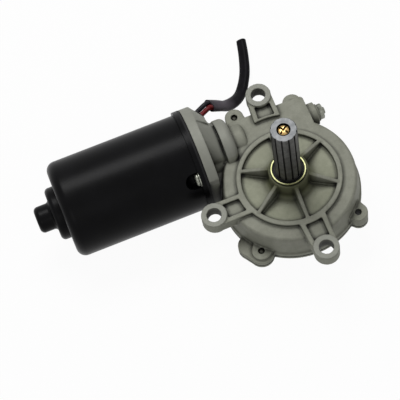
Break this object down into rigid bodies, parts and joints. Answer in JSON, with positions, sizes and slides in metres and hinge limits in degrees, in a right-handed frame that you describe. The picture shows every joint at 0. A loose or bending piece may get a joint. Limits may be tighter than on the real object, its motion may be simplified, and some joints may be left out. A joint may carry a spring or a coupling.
{
  "type": "window lift motor",
  "caption": "Geared motor with a cylindrical can, a cast worm gearbox with drilled mounting ears and a long splined output shaft at right angles to the motor.",
  "frame": {"origin": "on the output shaft's axis, where its splines leave the hub", "axes": "+Z out along the output shaft; +X from the motor towards the gearbox, along the motor's axis; +Y from the output shaft towards the motor's axis"},
  "size_m": [0.1971, 0.1851, 0.1084],
  "materials": {
    "cast_alloy": "blasted die casting",
    "can_paint": "satin black paint",
    "rubber_black": "matte",
    "paper_gasket": "matte",
    "bronze": "satin",
    "shaft_steel": "ground and phosphated",
    "bright_steel": "zinc plated",
    "yellow_zinc": "zinc plated and passivated",
    "wheel_nylon": "moulded",
    "lamination": "stamped stack",
    "copper": "enamelled wire",
    "ferrite": "matte",
    "phenolic": "matte",
    "carbon": "matte",
    "spring_steel": "bright",
    "red_pvc": "satin",
    "black_pvc": "satin"
  },
  "bodies": {
    "gearbox": {"gear_housing": "cast_alloy", "cover_gasket": "paper_gasket", "rear_cover": "cast_alloy", "cover_screws": "bright_steel", "lower_bush": "bronze", "upper_bush": "bronze", "shaft_seal": "rubber_black", "motor_can": "can_paint", "motor_gasket": "rubber_black", "can_screws": "bright_steel", "magnets": "ferrite", "rear_bush": "bronze", "thrust_pad": "wheel_nylon", "front_bush": "bronze", "end_bush": "bronze", "brush_plate": "phenolic", "brushes": "carbon", "brush_springs": "spring_steel", "thrust_ball": "bright_steel", "adjusting_screw": "bright_steel", "lock_nut": "bright_steel", "cable_grommet": "rubber_black", "red_lead": "red_pvc", "black_lead": "black_pvc", "cable_sleeve": "black_pvc"},
    "output": {"output_shaft": "shaft_steel", "shaft_end_screw": "yellow_zinc", "worm_wheel": "wheel_nylon", "thrust_washer": "bronze", "retaining_clip": "spring_steel"},
    "armature": {"armature_shaft": "bright_steel", "armature_core": "lamination", "armature_windings": "copper", "commutator": "copper"}
  },
  "joints": [
    {"name": "armature_spin", "type": "hinge", "parent": "gearbox", "child": "armature", "pos_m": [0, 0.0395, -0.023], "axis": [1, 0, 0], "continuous": true},
    {"name": "output_turn", "type": "hinge", "parent": "gearbox", "child": "output", "pos_m": [0, 0, 0], "axis": [0, 0, 1], "continuous": true}
  ],
  "couplings": [
    {"joint": "output_turn", "follows": "armature_spin", "ratio": 0.018519}
  ]
}
